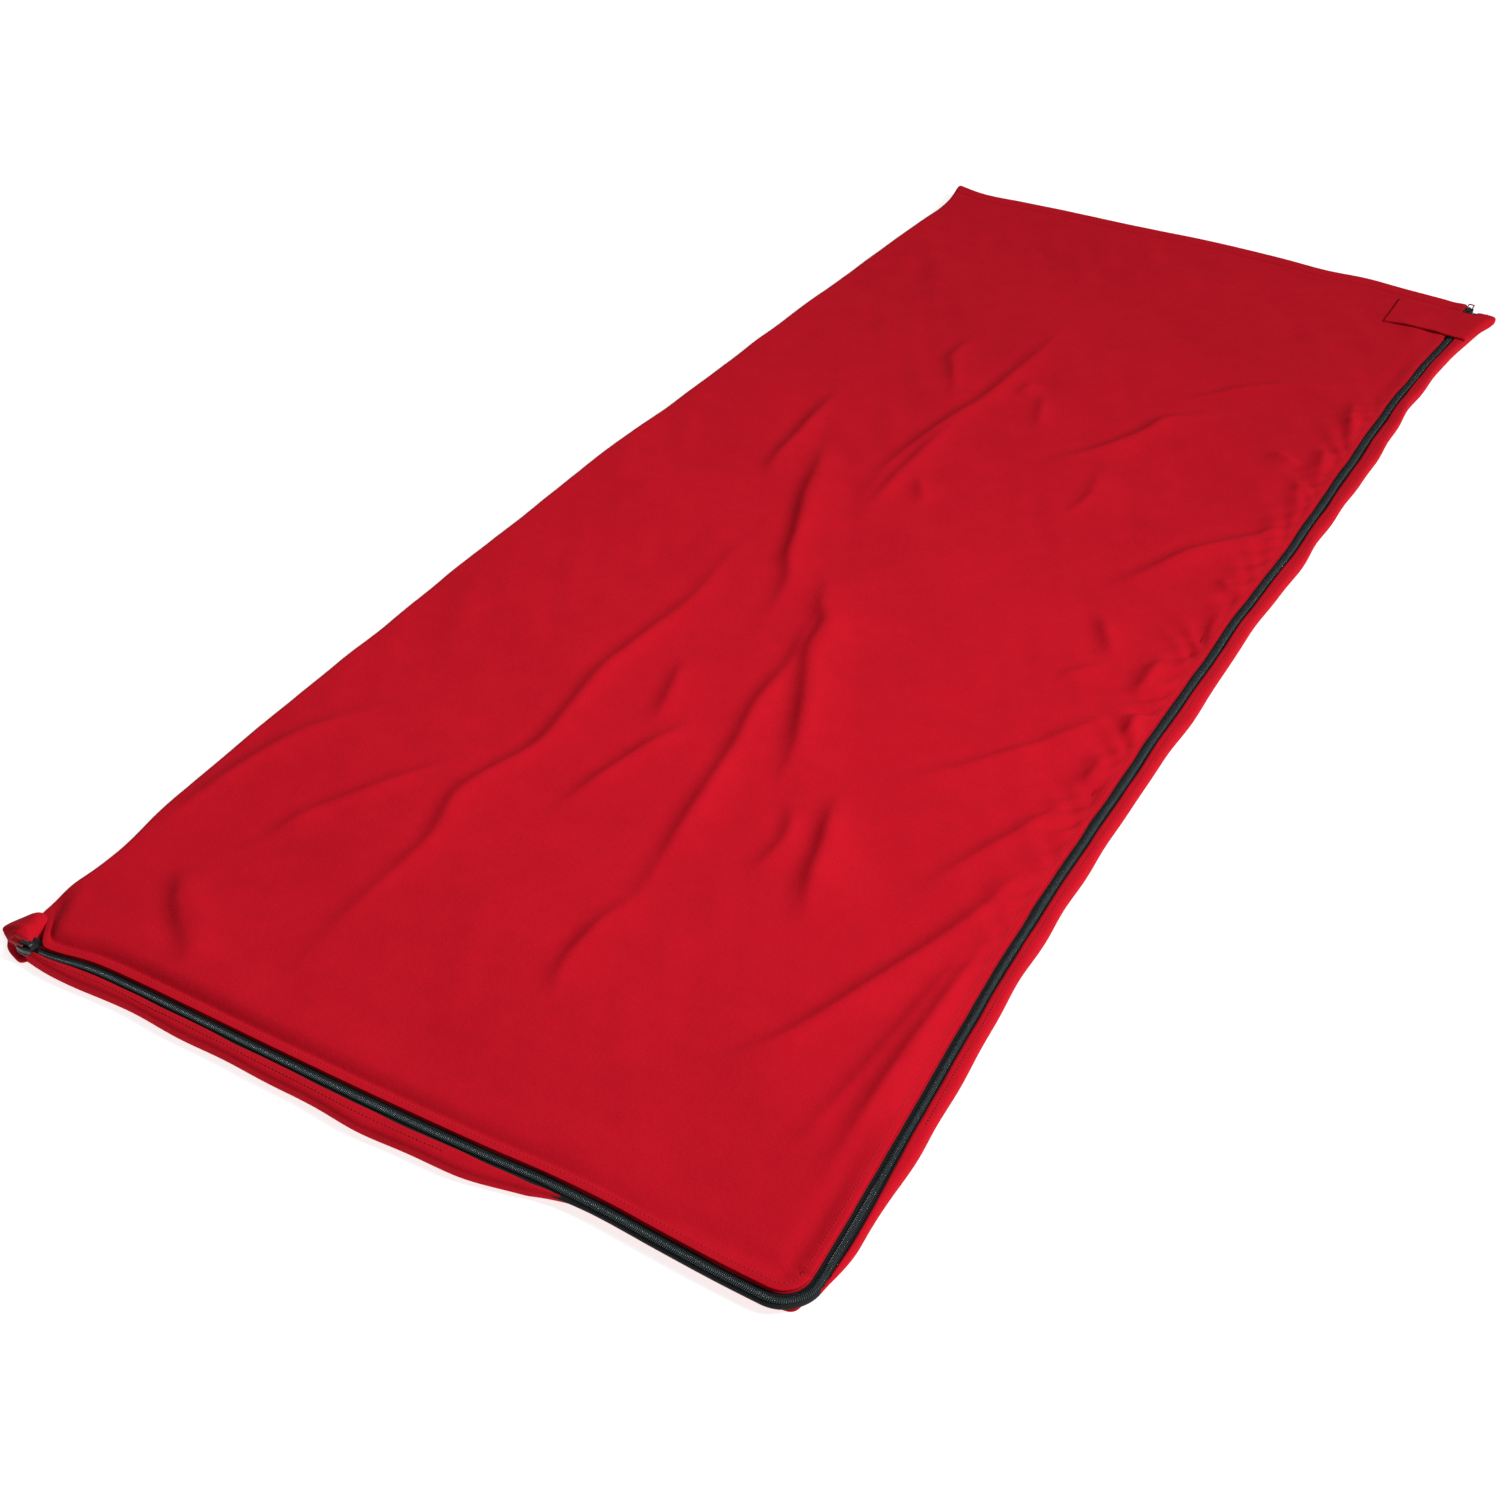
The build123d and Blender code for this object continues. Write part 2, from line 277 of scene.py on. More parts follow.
def rounded_path(corners, radius, arc_points=4):
    """Corner points joined by straight runs, with each inner corner rounded, for a section's middle line."""
    corners = np.asarray(corners, float)
    points = [corners[0]]
    for before, corner, after in zip(corners, corners[1:], corners[2:]):
        reach_in = min(radius, np.linalg.norm(corner - before) * 0.45)
        reach_out = min(radius, np.linalg.norm(after - corner) * 0.45)
        start = corner + (before - corner) / np.linalg.norm(before - corner) * reach_in
        end = corner + (after - corner) / np.linalg.norm(after - corner) * reach_out
        for t in np.linspace(0, 1, arc_points):
            points.append(start * (1 - t) ** 2 + corner * 2 * t * (1 - t) + end * t * t)
    return np.array(points + [corners[-1]])


def sweep(name, run, sections, material):
    """Closed sections, one per point of the zip run, joined into a tube and bent to the bag's plan."""
    centres, normals = run
    sections = np.asarray(sections, float)
    if sections.ndim == 2:
        sections = np.repeat(sections[None], len(centres), axis=0)
    plan = centres[:, None, :] + normals[:, None, :] * sections[..., :1]
    x, y = warp(plan[..., 0], plan[..., 1], head=False)
    points = np.stack([x, y, sections[..., 1]], -1)
    return add_mesh(name, points, tube_faces(*points.shape[:2]), material)


def stitches(name, line, material, length=2.6 * MM, gap=0.9 * MM, radius=0.28 * MM, sides=6):
    """Short thread stitches along a line of points on the cloth, each dipping into it at both ends."""
    line = np.asarray(line, float)
    reach = np.concatenate([[0], np.cumsum(np.linalg.norm(np.diff(line, axis=0), axis=1))])
    count = int(reach[-1] / (length + gap))
    starts = np.arange(count) * (length + gap)
    shares = np.array([0, 0.2, 0.5, 0.8, 1])
    dips = np.array([-0.5, 0.05, 0.35, 0.05, -0.5]) * MM
    swell = np.array([0.5, 1, 1.1, 1, 0.5])
    at = starts[:, None] + shares[None, :] * length
    centre = np.stack([np.interp(at, reach, line[:, k]) for k in range(3)], -1)
    centre[..., 2] += dips
    ahead = centre[:, -1] - centre[:, 0]
    ahead /= np.linalg.norm(ahead, axis=1, keepdims=True)
    side = np.stack([-ahead[:, 1], ahead[:, 0], np.zeros(count)], 1)
    side /= np.linalg.norm(side, axis=1, keepdims=True)
    up = np.cross(ahead, side)
    turn = np.arange(sides) * 2 * math.pi / sides
    ring = np.cos(turn)[:, None] * side[:, None, None, :] + np.sin(turn)[:, None] * up[:, None, None, :]
    points = centre[:, :, None, :] + ring * (radius * swell)[None, :, None, None]
    per_stitch = len(shares) * sides
    one = tube_faces(len(shares), sides, flip=True)
    faces = [[v + k * per_stitch for v in f] for k in range(count) for f in one]
    return add_mesh(name, points, faces, material)


# ------------------------------------------------------------
# The lie of the cloth. A crease is its height in millimetres and its course in centimetres, head to foot. It
# falls off steeply on its left and gently on its right. The courses were read off the photo projected onto
# this plan, moved into this frame and rounded to half a centimetre. A helper script moved them into this
# frame, and they were rounded to half a centimetre. The heights began as guesses. Edit scripts then rewrote
# them all three times with formulas, to bring the shading closer to the photo, and a few were lowered by
# hand.

CREASES = [
    (5.7, [(-23.5, 29), (-23, 22), (-22.5, 17), (-22, 11.5), (-21.5, 7.5), (-20, 3)]),
    (9.1, [(-19.5, 17.5), (-17.5, 12), (-16, 7.5), (-15, 4), (-14, 1), (-12, -4.5), (-10.5, -9), (-8.5, -13),
           (-7.5, -17), (-6.5, -22.5)]),
    (4.2, [(-15.5, 50), (-15.5, 43), (-14, 39.5), (-12, 35.5), (-10.5, 31.5)]),
    (5.6, [(-7, 60), (-6.5, 50), (-7, 42), (-7.5, 34), (-8.5, 29), (-9.5, 22), (-10, 14.5), (-9.5, 7.5),
           (-8.5, 1)]),
    (5.0, [(-8, 29), (-8, 21), (-8, 11), (-7.5, 1)]),
    (3.9, [(-4, 41.5), (-4.5, 37)]),
    (6.6, [(18.5, 47.5), (16, 44), (13, 41), (12, 37), (10, 32), (6.5, 26), (4, 22.5)]),
    (4.4, [(31, 61.5), (26.5, 59), (22.5, 57), (18.5, 53.5), (15.5, 50), (12, 45.5)]),
    (4.6, [(30.7, 57), (32.5, 48)]),
    (4.6, [(31, 44), (32.5, 36)]),
    (4.6, [(30.5, 35), (32.5, 28.5)]),
    (5.0, [(30.5, 38), (26.5, 40)]),
    (8.1, [(31.5, 27.5), (31.5, 21.5), (28.5, 17), (26, 13.5), (24, 9.5), (22, 5.5), (20, 2)]),
    (5.0, [(30, 10), (32, 7.5)]),
    (3.4, [(11, 25), (12, 18), (10.5, 13)]),
    (3.4, [(-6, 13), (-3, 7.5)]),
    (3.4, [(-2, 39.5), (1, 30)]),
    (10.6, [(-7, -9), (-4.5, -12.5), (-3, -16), (-1, -19), (0, -24), (2, -28.5), (4, -33), (6, -38.5),
            (7, -43), (8, -46.5)]),
    (6.6, [(-3, -14.5), (-2.5, -20.5), (-1, -27), (-0.5, -34), (1, -40.5), (2, -47), (3, -54.5), (4, -61),
           (4.5, -66), (6, -68.5)]),
    (5.0, [(4, -63), (3.5, -71), (4, -75), (5.5, -78)]),
    (5.0, [(8, -46), (10, -47), (11.5, -51), (11, -56.5)]),
    (9.7, [(12.5, -42), (13.5, -46), (15, -50.5), (16, -54.5), (18, -60)]),
    (5.5, [(-16, -3), (-16, -12.5), (-15, -20.5), (-15.5, -29), (-16, -36.5), (-15, -44.5), (-14.5, -50),
           (-16, -56), (-16.5, -60.5), (-15, -66), (-15, -72.5), (-15, -79), (-14, -88.5)]),
    (5.0, [(-10.5, -30.5), (-8.5, -36.5), (-7, -42.5)]),
    (5.7, [(-4, -39), (-5.5, -44.5), (-7, -51), (-8, -56), (-8.5, -58)]),
    (5.7, [(21.5, -2), (24, -6.5), (26, -10)]),
    (3.4, [(26, -10.5), (22, -16)]),
    (8.1, [(30, -6), (30, -12.5), (30, -15.5)]),
    (8.1, [(31.5, -16.5), (31.5, -22.5)]),
    (8.1, [(31, -24.5), (31, -30.5)]),
    (5.7, [(31, -16), (29, -19.5), (26, -25), (22.5, -30.5), (19, -35), (16, -38.5)]),
    (5.7, [(31, -31), (30, -35), (28, -41), (26, -46.5), (24, -51)]),
    (8.1, [(32, -40.5), (31, -45), (30, -51), (28.5, -56.5), (26.5, -62.5), (24.5, -68.5), (21.5, -74.5),
           (17, -78.5)]),
    (9.0, [(32, -51), (32, -59), (32, -66), (32, -72.5), (32, -79), (32, -84)]),
    (3.9, [(31, -54), (30.5, -62.5), (30, -71), (29, -80.5), (28, -84)]),
    (8.1, [(-31, -80), (-27, -84), (-23.5, -87), (-22, -90)]),
    (5.0, [(-30, -52), (-33, -57), (-35, -62.5), (-36, -69), (-36.5, -78)]),
    (3.9, [(-19, -54), (-21.5, -59), (-24, -64), (-26.5, -69), (-28, -76)]),
]
CREST_SHIFT = 4 * MM


def crest_widths(tallest):
    """How wide a crease falls away on its steep left side and its gentle right side; a tall one is wider."""
    return (5.6 + 0.35 * tallest) * MM, (8.0 + 0.9 * tallest) * MM


def crease_height(x, y):
    """How far the creases lift the cloth at plan points: ridges, each with a trough along its steep side."""
    height = np.zeros_like(x)
    for tallest, course in CREASES:
        knots = np.arange(len(course))
        fine = np.linspace(0, knots[-1], 4 * knots[-1] + 1)
        points = np.stack([through(list(zip(knots, axis)), fine) for axis in zip(*course)], 1) * 0.01
        steep, gentle = crest_widths(tallest)
        reach = 5 * gentle
        near = ((x > points[:, 0].min() - reach) & (x < points[:, 0].max() + reach)
                & (y > points[:, 1].min() - reach) & (y < points[:, 1].max() + reach))
        px, py = x[near], y[near]
        lengths = np.linalg.norm(np.diff(points, axis=0), axis=1)
        starts = np.concatenate([[0], np.cumsum(lengths)])
        best = np.full(px.shape, 9.0)
        side, place = np.zeros_like(px), np.zeros_like(px)
        for a, b, length, start in zip(points, points[1:], lengths, starts):
            tx, ty = (b - a) / length
            along = np.clip((px - a[0]) * tx + (py - a[1]) * ty, 0, length)
            off_x, off_y = px - a[0] - along * tx, py - a[1] - along * ty
            distance = np.hypot(off_x, off_y)
            closer = distance < best
            best = np.where(closer, distance, best)
            side = np.where(closer, tx * off_y - ty * off_x, side)
            place = np.where(closer, start + along, place)
        across = np.where(side < 0, -best, best) - CREST_SHIFT
        away = np.abs(across) / np.where(across < 0, steep, gentle)
        share = place / starts[-1]
        taper = smooth(0, 0.42, share + 0.03) * smooth(1, 0.58, share - 0.03)
        ridge = 0.95 * np.exp(0.32 - np.sqrt(away ** 2 + 0.1))
        trough = 0.16 * np.exp(-((across + 1.9 * steep) / (1.5 * steep)) ** 2)
        height[near] += tallest * MM * taper * (ridge - trough)
    return height


def pucker(edge, y):
    """Short slanting gathers along the zip, where the cloth is drawn up by its seam."""
    slant = 2 * math.pi * (y + 0.9 * edge) / (34 * MM) + 2.5 * ripple(edge, y, 0.13, 61)
    back_slant = 2 * math.pi * (y - 1.2 * edge) / (58 * MM) + 2.5 * ripple(edge, y, 0.11, 63)
    patchy = 0.6 + 0.5 * ripple(0 * edge, y, 0.14, 62)
    where = smooth(0.66, 0.5, y) * smooth(-0.7, -0.35, y)
    gathers = 2.0 * np.sin(slant) * patchy + 2.0 * np.sin(back_slant) * (1.1 - patchy)
    return gathers * MM * where * np.exp(-(edge / (38 * MM)) ** 2)


def lie(x, y):
    """The free height of the top cloth over its level: creases and slow swells."""
    swell = 2.2 * ripple(x, y, 0.26, 11) + 0.6 * ripple(x, y, 0.09, 12) + 0.12 * ripple(x, y, 0.03, 13)
    across, along = x + 0.4 * y, 0.25 * y
    drag = 0.5 * ripple(across, along, 0.045, 14) * smooth(-0.5, 0.8, ripple(x, y, 0.3, 15))
    return crease_height(x, y) + (swell + drag) * MM


# ------------------------------------------------------------
# Top sheet: one cloth from the tuck under the left fold, over the top, to the seams along the zip

ROLL = HALF_THICK + 0.1 * MM
SHEET_RADIUS = ZIP_RADIUS + SHEET_U
ARC_X, ARC_Y = RIGHT_X - CORNER_RADIUS, FOOT_Y + CORNER_RADIUS
SHEET_FOOT_Y = ARC_Y - SHEET_RADIUS
EAR_X = FOOT_SLIDER_X + 2 * MM
GRID = 3.2 * MM
FOLD_Z = UPPER_Z / 2
FOLD_R = FOLD_Z - HALF_THICK - 0.1 * MM
TOP_LEVEL = FOLD_Z + FOLD_R
# The cover turns over about this height when it opens, so its crests stay low enough to clear the floor then
OPENING_Z = 10.8 * MM
OPENED_LEAN = math.radians(0.5)
HIGHEST, DEEPEST = 2 * OPENING_Z - TOP_LEVEL - HALF_THICK - 0.4 * MM, -3.5 * MM


def hem_rows(head, foot, fine=2 * MM, coarse=GRID):
    """Rows (y, how far under) from the end of the hem's turned-under leg, round the roll and to the foot."""
    leg = [(y, 1.0) for y in np.arange(head - HEM + 3 * MM, head - ROLL, 3 * MM)]
    roll = [(head - ROLL + ROLL * math.cos(a), (1 - math.sin(a)) / 2) for a in np.linspace(-1.2, 1.2, 6)]
    near = [(y, 0.0) for y in np.arange(head - ROLL, head - HEM - 12 * MM, -fine)]
    far = [(y, 0.0) for y in np.linspace(near[-1][0] - fine, foot, int((near[-1][0] - foot) / coarse))]
    return np.array(leg + roll + near + far)


def foot_groove(x):
    """How deep the stitching pulls the sheet down along the foot: 1 at the left, little at the corner."""
    return through([(-0.4, 1.0), (-0.1, 1.0), (0.1, 0.75), (0.2, 0.5), (0.3, 0.15), (0.36, 0)], x)


def edge_rise(x, y, edge):
    """The sheet's rise over its level near the zip: low at the foot's left, a soft welt at the corner."""
    groove = foot_groove(x) * smooth(SHEET_FOOT_Y + 0.09, SHEET_FOOT_Y + 0.05, y)
    groove = groove * smooth(ZIP_X - 0.02, ZIP_X - 0.06, x) * (0.15 + 0.85 * smooth(-0.378, -0.335, x))
    low = -0.9 - 1.8 * np.exp(-((edge - 0.0095) / 0.0035) ** 2)
    crest = 3.8 - 3.0 * smooth(22 * MM, 75 * MM, edge)
    at_foot = low + (crest - low) * smooth(8 * MM, 22 * MM, edge)
    welt = 0.8 * np.exp(-((edge - 0.006) / 0.006) ** 2) - 1.3 * np.exp(-((edge - 0.019) / 0.008) ** 2)
    near_corner = np.maximum(smooth(-0.62, -0.8, y), 0.25)
    at_side = 0.2 + 0.6 * smooth(10 * MM, 35 * MM, edge) + welt * near_corner
    return (groove * at_foot + (1 - groove) * at_side) * MM


def cover_height(x, y, edge):
    """The middle height of the top sheet at straight plan points this far in from its zip edge."""
    wx, wy = warp(x, y)
    free = smooth(0, 18 * MM, edge) * 0.88 + 0.12
    held = smooth(HEAD_Y + 5 * MM, HEAD_Y - 0.09, y) * 0.7 + 0.3
    lift = lie(wx, wy) * free + pucker(edge, wy) * smooth(3 * MM, 13 * MM, edge)
    highest = HIGHEST + OPENED_LEAN * (x - FOLD_X)
    return held_between(DEEPEST, highest, edge_rise(x, y, edge) + lift * held, 2.4 * MM)


def make_top_sheet(material):
    turn = [(ARC_Y - SHEET_RADIUS * math.sin(a), 0.0) for a in np.linspace(0, math.pi / 2, 19)[1:]]
    rows = np.concatenate([hem_rows(HEAD_Y, ARC_Y), turn])
    y_row, under = rows[:, :1], rows[:, 1:]
    below = np.clip((ARC_Y - y_row) / SHEET_RADIUS, 0, 1)
    x_end = np.where(y_row > ARC_Y, ZIP_X + SHEET_U, ARC_X + SHEET_RADIUS * np.sqrt(1 - below ** 2))

    angle = np.linspace(-math.pi / 2, math.pi / 2, 15)[None, :]
    fold_x, fold_height = FOLD_X - FOLD_R * np.cos(angle), FOLD_Z + FOLD_R * np.sin(angle)
    wide = int((ZIP_X - FOLD_X) / GRID)
    fine_from = 0.955  # the share of the width where the columns close up toward the zip
    coarse, fine = np.linspace(0, 1, wide)[1:-1], np.linspace(0, 1, 19)
    share = np.concatenate([coarse * fine_from, fine_from + (1 - fine_from) * fine])[None, :]
    ones = np.ones_like(y_row)
    x = np.concatenate([ones * (FOLD_X + FOLD_TUCK), ones * fold_x, FOLD_X + (x_end - FOLD_X) * share], 1)
    level = np.concatenate([[[FOLD_Z - FOLD_R]], fold_height, np.full_like(share, FOLD_Z + FOLD_R)], 1) * ones
    inward_x = np.concatenate([[[0]], np.cos(angle), 0 * share], 1) * ones
    inward_z = np.concatenate([[[1]], -np.sin(angle), 0 * share - 1], 1) * ones
    on_top = smooth(FOLD_Z, FOLD_Z + FOLD_R, level)

    # past the foot slider the seam line turns up the fold, and leaves the corner's ear bare
    turned = smooth(EAR_X, FOLD_X - 4 * MM, x)
    y = y_row + 33 * MM * turned * smooth(SHEET_FOOT_Y + 0.2, SHEET_FOOT_Y, y_row)

    edge_x = np.where(y_row > ARC_Y, ZIP_X + SHEET_U - x, 9)
    edge_y = y_row - SHEET_FOOT_Y
    radial = SHEET_RADIUS - np.hypot(x - ARC_X, y_row - ARC_Y)
    in_corner = (x > ARC_X) & (y_row < ARC_Y)
    edge = np.where(in_corner, radial, np.minimum(edge_x, edge_y))
    edge = np.maximum(edge, 0)
    wx, wy = warp(x, y)
    hem_seam = -1.3 * MM * np.exp(-(((y_row - (HEAD_Y - HEM)) / (2.2 * MM)) ** 2)) * (under == 0)
    z = level + (cover_height(x, y_row, edge) + hem_seam) * on_top
    z = np.where(on_top > 0, np.maximum(z, (FOLD_Z - FOLD_R) * (1 - on_top) + 10.2 * MM * on_top), z)

    # the fold's foot end is pressed flat
    flat = smooth(0.05, 0.01, y_row - SHEET_FOOT_Y) * turned
    z = z + (6 * MM - z) * 0.6 * flat

    wx = wx + inward_x * under * 2 * ROLL
    z = z + inward_z * under * 2 * ROLL
    return thick_sheet("top_sheet", np.stack([wx, wy, z], -1), material)


# ------------------------------------------------------------
# Bottom sheet

def make_bottom_sheet(material):
    inset = ZIP_RADIUS - 2 * MM
    turn = [(ARC_Y - inset * math.sin(a), 0.0) for a in np.linspace(0, math.pi / 2, 17)[1:]]
    rows = np.concatenate([hem_rows(HEAD_Y - 0.5 * MM, ARC_Y, coarse=10 * MM), turn])
    y, under = rows[:, :1], rows[:, 1:]
    below = np.clip((ARC_Y - y) / inset, 0, 1)
    x_end = np.where(y > ARC_Y, ARC_X + inset, ARC_X + inset * np.sqrt(1 - below ** 2))
    x_end = x_end - 5 * MM * smooth(-0.74, -0.87, y)
    x = FOLD_X + (x_end - FOLD_X) * np.linspace(0, 1, 76)[None, :]
    wx, wy = warp(x, y)
    wy = wy + 5 * MM * smooth(0.08, 0.20, x) * smooth(ARC_Y, FOOT_Y + 12 * MM, y)
    corner_x, corner_y = ARC_X + 0.75 * inset, ARC_Y - 0.66 * inset
    corner = np.exp(-((x - corner_x) ** 2 + (y - corner_y) ** 2) / (18 * MM) ** 2)
    wx, wy = wx + 5 * MM * corner, wy - 8.5 * MM * corner
    z = 1.35 * MM + 0.12 * ripple(wx, wy, 0.08, 21) * MM + under * 2 * ROLL
    return thick_sheet("bottom_sheet", np.stack([wx, wy, z], -1), material)


# ------------------------------------------------------------
# Lips, border, tapes and coils, all swept along the zip's run

RUN_HEAD_Y = HEAD_SLIDER_Y + 17 * MM
LIP_EDGE, FOOT_LIP_EDGE, CORNER_LIP_EDGE = 5.7, 6.2, 4.8  # millimetres from the zip's centre


def lip_reach(centres):
    """How far the lips' edges stay from the zip's centre, in millimetres."""
    at_foot = smooth(0.30, 0.10, centres[:, 0]) * (centres[:, 1] < ZIP_Y + 1 * MM)
    return LIP_EDGE + (FOOT_LIP_EDGE - LIP_EDGE) * at_foot + (CORNER_LIP_EDGE - LIP_EDGE) * tucked(centres)


def wavy(centres, scale, seed, wavelength=0.05):
    """A slow wave along the run, one value per centre."""
    reach = run_length(centres)
    return scale * ripple(reach, 0 * reach, wavelength, seed)


def near_ends(centres, head=25 * MM, foot=30 * MM):
    """1 along most of the run, falling to 0 at its head end and its foot end."""
    reach = run_length(centres)
    return smooth(0, head, reach) * smooth(reach[-1], reach[-1] - foot, reach)


def past_foot_slider(centres):
    """0 along the zip, rising to 1 where the lips close over its foot end."""
    at_foot = centres[:, 1] < ZIP_Y + 1 * MM
    return smooth(FOOT_SLIDER_X - 8 * MM, FOOT_SLIDER_X - 16 * MM, centres[:, 0]) * at_foot


def tucked(centres):
    """1 round the foot corner, where the border rolls under the tape, and 0 along the rest."""
    return np.minimum(smooth(-0.79, -0.91, centres[:, 1]), smooth(0.08, 0.20, centres[:, 0]))


def drawn_and_rolled(centres):
    """How far the border is drawn in toward the zip, and then rolled under it, round the foot corner."""
    x, y = centres.T
    foot = smooth(0.08, 0.20, x)
    drawn = np.minimum(smooth(-0.75, -0.85, y), np.minimum(1, 2 * foot))
    rolled = np.minimum(smooth(-0.86, -0.935, y), np.maximum(0, 2 * foot - 1))
    return drawn, rolled


def make_cover_lip(material):
    run = zip_run(step=4 * MM, head=RUN_HEAD_Y, foot=EAR_X - 7 * MM)
    out = wavy(run[0], 0.3, 32)
    dips = foot_groove(run[0][:, 0]) * smooth(ARC_Y, ZIP_Y, run[0][:, 1])
    edges = SHEET_U / MM + out
    sections = []
    inner = -19.5
    for edge, dip in zip(edges, dips):
        ply = 0.6 - 0.25 * dip
        low, high = TAPE_Z + 0.05 + ply, TAPE_Z + 0.05 + 3 * ply
        turned = rounded_path([(inner, low), (edge, low), (edge, high), (inner, high)], 0.7)
        sections.append(closed_section(turned * MM, ply * MM))
    return sweep("cover_lip", run, sections, material)


def make_border(material):
    run = zip_run(step=3 * MM, head=RUN_HEAD_Y, foot=FOOT_SLIDER_X - 15 * MM)
    crown = wavy(run[0], 0.5, 41, 0.07)
    outer = wavy(run[0], 1.2, 42, 0.055)
    edge = wavy(run[0], 0.35, 43)
    full, shut = near_ends(run[0], 22 * MM, 16 * MM), past_foot_slider(run[0])
    first, second = drawn_and_rolled(run[0])
    crown = crown * smooth(0.80, 0.75, run[0][:, 1])
    reach = lip_reach(run[0])
    head_end = np.clip(run_length(run[0]) / (15 * MM), 0, 1)
    lobe = np.sqrt(1 - (1 - head_end) ** 2) * 0.97 + 0.03
    sections = []
    for k in range(len(run[0])):
        lip = reach[k] + 0.5 + edge[k] - shut[k] * (reach[k] - 0.4)
        wide, high = outer[k], crown[k]
        over = np.array([(-3.0, 1.25), (15.2 + wide, 1.25), (15.9 + wide, 7.0), (15.6 + wide, 13.0 + high),
                         (lip, 13.5), (lip, 11.7), (14.5, 11.7)])
        drawn = np.array([(-3.0, 1.25), (9.2, 1.25), (10.2, 5.0), (10.7, 10.4), (8.0, 12.2), (7.6, 11.3),
                          (9.6, 10.6)])
        rolled = np.array([(-7.0, 1.25), (-4.5, 1.25), (-2.0, 3.0), (0.6, 5.2), (2.2, 7.0), (1.9, 8.2),
                           (0.8, 8.6)])
        shape = rounded_path(over + (drawn - over) * first[k] + (rolled - drawn) * second[k], 2.6)
        centre = np.array([11.0, 7.0])
        shape = centre + (shape - centre) * lobe[k]
        shape[:, 1] = 1.25 + (shape[:, 1] - 1.25) * (0.6 + 0.4 * full[k])
        sections.append(closed_section(shape * MM, HALF_THICK * (0.4 + 0.6 * lobe[k])))
    return sweep("border_wrap", run, sections, material)


def make_tape(name, side, material):
    run = zip_run(step=4 * MM, head=HEAD_SLIDER_Y + 4 * MM, foot=TAPE_FOOT_X)
    flat = np.array([(side * u, TAPE_Z) for u in (1.7, 4, 7, 10, TAPE_OUTER_U)])
    rolled = np.array([(1.7, TAPE_Z), (2.8, 10.4), (3.8, 9.8), (4.4, 8.7), (4.5, 7.4)])
    share = tucked(run[0]) if side > 0 else 0 * run[0][:, 0]
    sections = [closed_section((flat + (rolled - flat) * k) * MM, 0.28 * MM) for k in share]
    return sweep(name, run, sections, material)


def make_coil(name, side, material, pitch=1.5 * MM, wire=0.36 * MM, corners=5):
    """One half of a nylon coil: a flattened helix whose heads reach across the line between the other's."""
    centres, normals = zip_run(step=2.5 * MM, head=COIL_HEAD_Y, foot=COIL_FOOT_X)
    reach = run_length(centres)
    turns = int(reach[-1] / pitch)
    per_turn = 8
    phase = np.arange(turns * per_turn + 1) / per_turn
    at = (phase + (0.5 if side < 0 else 0)) * pitch
    angle = phase * 2 * math.pi
    u = side * (1.2 - 1.75 * np.cos(angle)) * MM
    z = (12.1 + 0.8 * np.sin(angle)) * MM
    plan = [np.interp(at, reach, centres[:, k]) + np.interp(at, reach, normals[:, k]) * u for k in (0, 1)]
    x, y = warp(*plan, head=False)
    line = np.stack([x, y, z], 1)
    ahead = np.gradient(line, axis=0)
    ahead /= np.linalg.norm(ahead, axis=1, keepdims=True)
    side_way = np.cross(ahead, [0.0, 0.0, 1.0])
    across = np.stack([np.interp(at, reach, normals[:, k]) for k in (0, 1)] + [0 * at], 1)
    side_way = np.where(np.linalg.norm(side_way, axis=1, keepdims=True) < 0.2, across, side_way)
    side_way /= np.linalg.norm(side_way, axis=1, keepdims=True)
    up = np.cross(side_way, ahead)
    turn = np.arange(corners) * 2 * math.pi / corners
    ring = np.cos(turn)[None, :, None] * side_way[:, None] + np.sin(turn)[None, :, None] * up[:, None]
    points = line[:, None] + ring * wire
    return add_mesh(name, points, tube_faces(len(line), corners), material)


def on_side(centres):
    """Where the side border lies flat on top, short of the corner."""
    return centres[:, 1] > -0.75


def on_foot(centres):
    """Where the foot border lies flat on top, short of the corner."""
    return (centres[:, 0] < 0.07) & (centres[:, 1] < ARC_Y)


def run_stitches(name, u, material, where=None):
    """A topstitch line that follows the zip at distance u from its centre, on the cover or the border."""
    centres, normals = zip_run(step=3 * MM, head=RUN_HEAD_Y - 12 * MM, foot=FOOT_SLIDER_X + 6 * MM)
    if where is not None:
        kept = where(centres)
        centres, normals = centres[kept], normals[kept]
    plan_x, plan_y = centres[:, 0] + normals[:, 0] * u, centres[:, 1] + normals[:, 1] * u
    x, y = warp(plan_x, plan_y, head=False)
    if u < 0:
        height = TOP_LEVEL + cover_height(plan_x, plan_y, np.full_like(x, SHEET_U - u)) + HALF_THICK
    else:
        height = np.full_like(x, BORDER_TOP_Z * MM)
    return stitches(name, np.stack([x, y, height], 1), material)


